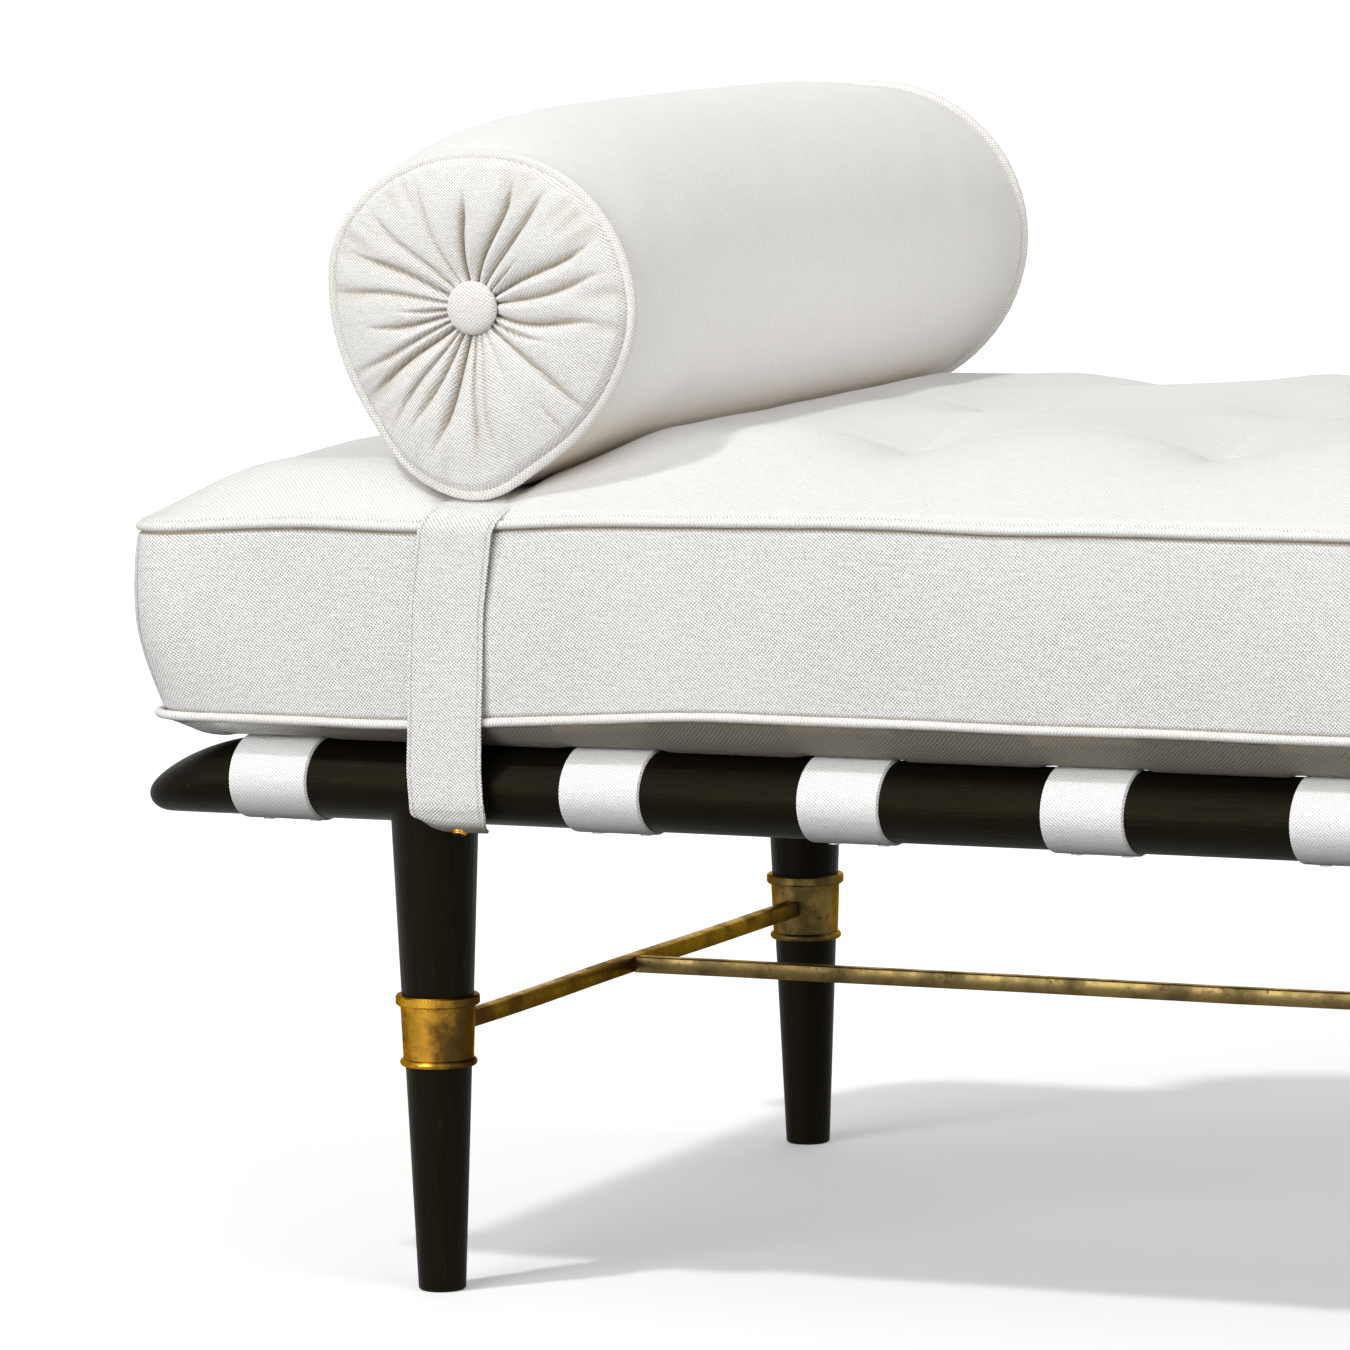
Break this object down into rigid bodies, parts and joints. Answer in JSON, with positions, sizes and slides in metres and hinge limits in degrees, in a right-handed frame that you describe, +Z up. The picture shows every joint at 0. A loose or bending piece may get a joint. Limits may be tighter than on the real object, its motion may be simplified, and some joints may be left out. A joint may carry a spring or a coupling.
{
  "type": "backless divan",
  "caption": "Backless divan: turned ebonised legs with brass ferrules and stretchers, rounded rails wrapped with webbing straps, tufted mattress and strapped bolster.",
  "frame": {"origin": "on the floor, at the centre of the whole divan's footprint", "axes": "+X along the length away from the bolster, +Y from the front to the rear, +Z up"},
  "size_m": [1.905, 0.6162, 0.6753],
  "materials": {
    "ebonised_wood": "dark ebonised hardwood, satin lacquer",
    "aged_brass": "aged brass, burnished with brown patina",
    "steel": "plain steel fixings",
    "webbing": "white cotton webbing, close diagonal weave",
    "canvas": "ivory cotton canvas, fine diagonal weave",
    "foam": "foam and wadding filling",
    "twine": "waxed tufting twine"
  },
  "bodies": {
    "frame": {"rail_front": "ebonised_wood", "rail_rear": "ebonised_wood", "cross_rail_left": "ebonised_wood", "cross_rail_centre": "ebonised_wood", "cross_rail_right": "ebonised_wood", "leg_front_left": "ebonised_wood", "leg_front_right": "ebonised_wood", "leg_rear_left": "ebonised_wood", "leg_rear_right": "ebonised_wood", "leg_bolts": "steel", "leg_washers": "steel", "leg_nuts": "steel", "ferrule_front_left": "aged_brass", "ferrule_front_right": "aged_brass", "ferrule_rear_left": "aged_brass", "ferrule_rear_right": "aged_brass", "cross_stretcher_left": "aged_brass", "cross_stretcher_right": "aged_brass", "long_stretcher": "aged_brass", "stretcher_pins": "aged_brass", "webbing_01": "webbing", "webbing_02": "webbing", "webbing_03": "webbing", "webbing_04": "webbing", "webbing_05": "webbing", "webbing_06": "webbing", "webbing_07": "webbing", "webbing_08": "webbing", "webbing_09": "webbing", "webbing_10": "webbing", "webbing_11": "webbing", "webbing_12": "webbing", "webbing_tacks": "steel", "strap_tab_front": "canvas", "strap_tab_rear": "canvas", "strap_snap_front": "aged_brass", "strap_snap_rear": "aged_brass"},
    "mattress": {"mattress_core": "foam", "mattress_top": "canvas", "mattress_boxing": "canvas", "mattress_underside": "canvas", "mattress_welt_upper": "canvas", "mattress_welt_lower": "canvas", "tuft_ties": "twine"},
    "bolster": {"bolster_core": "foam", "bolster_cover": "canvas", "bolster_end_front": "canvas", "bolster_end_rear": "canvas", "bolster_welt_front": "canvas", "bolster_welt_rear": "canvas", "bolster_button_front": "canvas", "bolster_button_rear": "canvas", "bolster_tie": "twine", "bolster_strap": "canvas"}
  },
  "joints": [
    {"name": "mattress_lift", "type": "slide", "parent": "frame", "child": "mattress", "axis": [0, 0, 1], "range_m": [0, 0.3]},
    {"name": "bolster_lift", "type": "slide", "parent": "mattress", "child": "bolster", "axis": [0, 0, 1], "range_m": [0, 0.25]}
  ]
}
